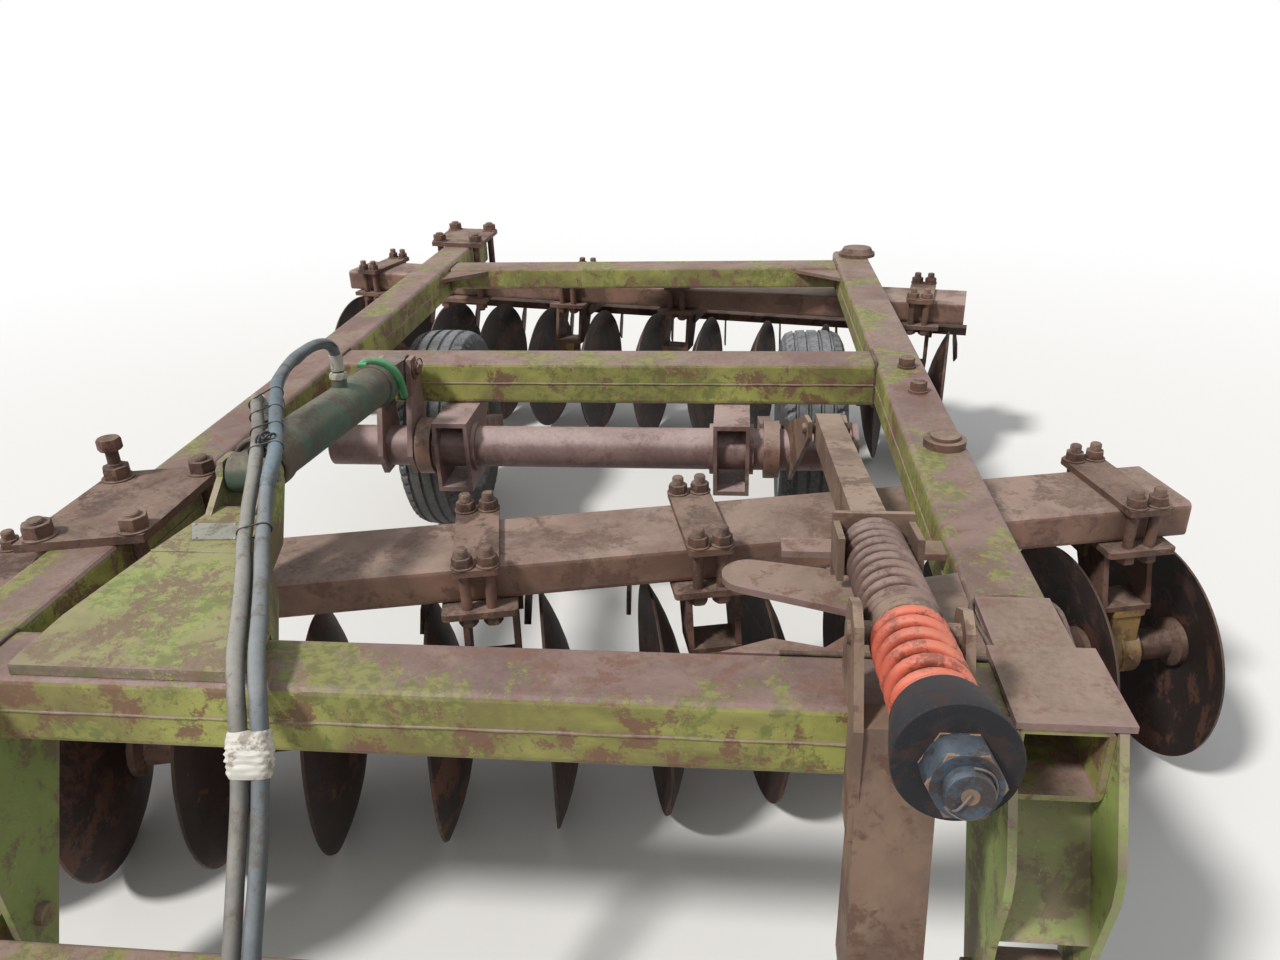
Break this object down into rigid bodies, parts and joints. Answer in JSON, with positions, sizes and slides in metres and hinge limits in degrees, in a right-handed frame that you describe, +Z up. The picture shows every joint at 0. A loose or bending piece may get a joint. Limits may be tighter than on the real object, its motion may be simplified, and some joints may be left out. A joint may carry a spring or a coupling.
{
  "type": "disc harrow",
  "caption": "Trailed offset disc harrow with a box frame, two angled disc gangs, lift wheels, cylinder, levelling link and drawbar.",
  "frame": {"origin": "middle of the machine's box at ground level", "axes": "+Y runs rearward, away from the hitch, +X is to the right of someone who stands at the hitch and looks at the machine, +Z is up"},
  "size_m": [2.8407, 5.6826, 0.9895],
  "materials": {
    "green_paint": "worn green paint with rust and dust",
    "rusty_iron": "rusty brown with dust",
    "disc_steel": "dark rust, dusty at the rim",
    "bearing_paint": "faded ochre paint",
    "bare_steel": "dull steel",
    "spring_paint": "faded orange paint",
    "tyre_rubber": "dusty black rubber",
    "hose_rubber": "matt dusty hose"
  },
  "bodies": {
    "frame": {"main_frame": "green_paint", "frame_plates": "green_paint", "frame_bolts": "rusty_iron", "front_beam": "rusty_iron", "rear_beam": "rusty_iron", "front_clamps": "rusty_iron", "rear_clamps": "rusty_iron", "front_hanger_frames": "rusty_iron", "rear_hanger_frames": "rusty_iron", "front_bearings": "bearing_paint", "rear_bearings": "bearing_paint", "front_scrapers": "rusty_iron", "rear_scrapers": "rusty_iron", "draw_posts": "green_paint", "cylinder_bracket": "green_paint", "shaft_hangers": "green_paint", "grey_hose": "hose_rubber", "pale_hose": "hose_rubber", "grey_coil": "hose_rubber", "pale_coil": "hose_rubber", "hose_couplers": "bare_steel"},
    "front_left_gang": {"front_left_discs": "disc_steel", "front_left_axle": "rusty_iron"},
    "front_right_gang": {"front_right_discs": "disc_steel", "front_right_axle": "rusty_iron"},
    "rear_left_gang": {"rear_left_discs": "disc_steel", "rear_left_axle": "rusty_iron"},
    "rear_right_gang": {"rear_right_discs": "disc_steel", "rear_right_axle": "rusty_iron"},
    "rockshaft": {"rockshaft_tube": "green_paint", "wheel_arms": "green_paint", "crank_arm": "green_paint", "level_arm": "green_paint"},
    "left_wheel": {"left_tyre": "tyre_rubber", "left_rim": "bearing_paint"},
    "right_wheel": {"right_tyre": "tyre_rubber", "right_rim": "bearing_paint"},
    "cylinder_barrel": {"cylinder_barrel": "green_paint"},
    "cylinder_rod": {"cylinder_rod": "bare_steel"},
    "drawbar": {"drawbar": "green_paint", "mast": "green_paint", "jack_tube": "bare_steel"},
    "jack_leg": {"jack_leg": "bare_steel"},
    "level_link": {"link_bar": "green_paint", "link_springs": "spring_paint"}
  },
  "joints": [
    {"name": "front_left_spin", "type": "hinge", "parent": "frame", "child": "front_left_gang", "pos_m": [-0.58417, 0.00807, 0.25], "axis": [0.975, 0.2224, 0], "continuous": true},
    {"name": "front_right_spin", "type": "hinge", "parent": "frame", "child": "front_right_gang", "pos_m": [0.74957, 0.31232, 0.25], "axis": [0.975, 0.2224, 0], "continuous": true},
    {"name": "rear_left_spin", "type": "hinge", "parent": "frame", "child": "rear_left_gang", "pos_m": [-0.75259, 2.46433, 0.25], "axis": [0.9751, -0.2215, 0], "continuous": true},
    {"name": "rear_right_spin", "type": "hinge", "parent": "frame", "child": "rear_right_gang", "pos_m": [0.58142, 2.16125, 0.25], "axis": [0.9751, -0.2215, 0], "continuous": true},
    {"name": "rockshaft_turn", "type": "hinge", "parent": "frame", "child": "rockshaft", "pos_m": [0, 0.831, 0.553], "axis": [1, 0, 0], "range_deg": [-3.4, 8]},
    {"name": "left_wheel_spin", "type": "hinge", "parent": "rockshaft", "child": "left_wheel", "pos_m": [-0.602, 1.505, 0.33], "axis": [1, 0, 0], "continuous": true},
    {"name": "right_wheel_spin", "type": "hinge", "parent": "rockshaft", "child": "right_wheel", "pos_m": [0.602, 1.505, 0.33], "axis": [1, 0, 0], "continuous": true},
    {"name": "cylinder_swing", "type": "hinge", "parent": "frame", "child": "cylinder_barrel", "pos_m": [-0.526, 0.035, 0.838], "axis": [1, 0, 0], "range_deg": [-0.07, 0.03]},
    {"name": "rod_slide", "type": "slide", "parent": "cylinder_barrel", "child": "cylinder_rod", "axis": [0, 0.9955, -0.0949], "range_m": [-0.0305, 0.013]},
    {"name": "drawbar_pitch", "type": "hinge", "parent": "frame", "child": "drawbar", "pos_m": [0, -0.521, 0.33], "axis": [1, 0, 0], "range_deg": [-0.62, 1.45]},
    {"name": "link_swing", "type": "hinge", "parent": "drawbar", "child": "level_link", "pos_m": [0.577, -0.491, 0.88], "axis": [1, 0, 0], "range_deg": [-2.95, 1.28]},
    {"name": "jack_slide", "type": "slide", "parent": "drawbar", "child": "jack_leg", "axis": [0, 0, 1], "range_m": [0, 0.17]}
  ],
  "couplings": [
    {"joint": "cylinder_swing", "follows": "rockshaft_turn", "ratio": -0.008},
    {"joint": "rod_slide", "follows": "rockshaft_turn", "m_per_rad": -0.208},
    {"joint": "drawbar_pitch", "follows": "rockshaft_turn", "ratio": 0.175},
    {"joint": "link_swing", "follows": "rockshaft_turn", "ratio": -0.36}
  ]
}
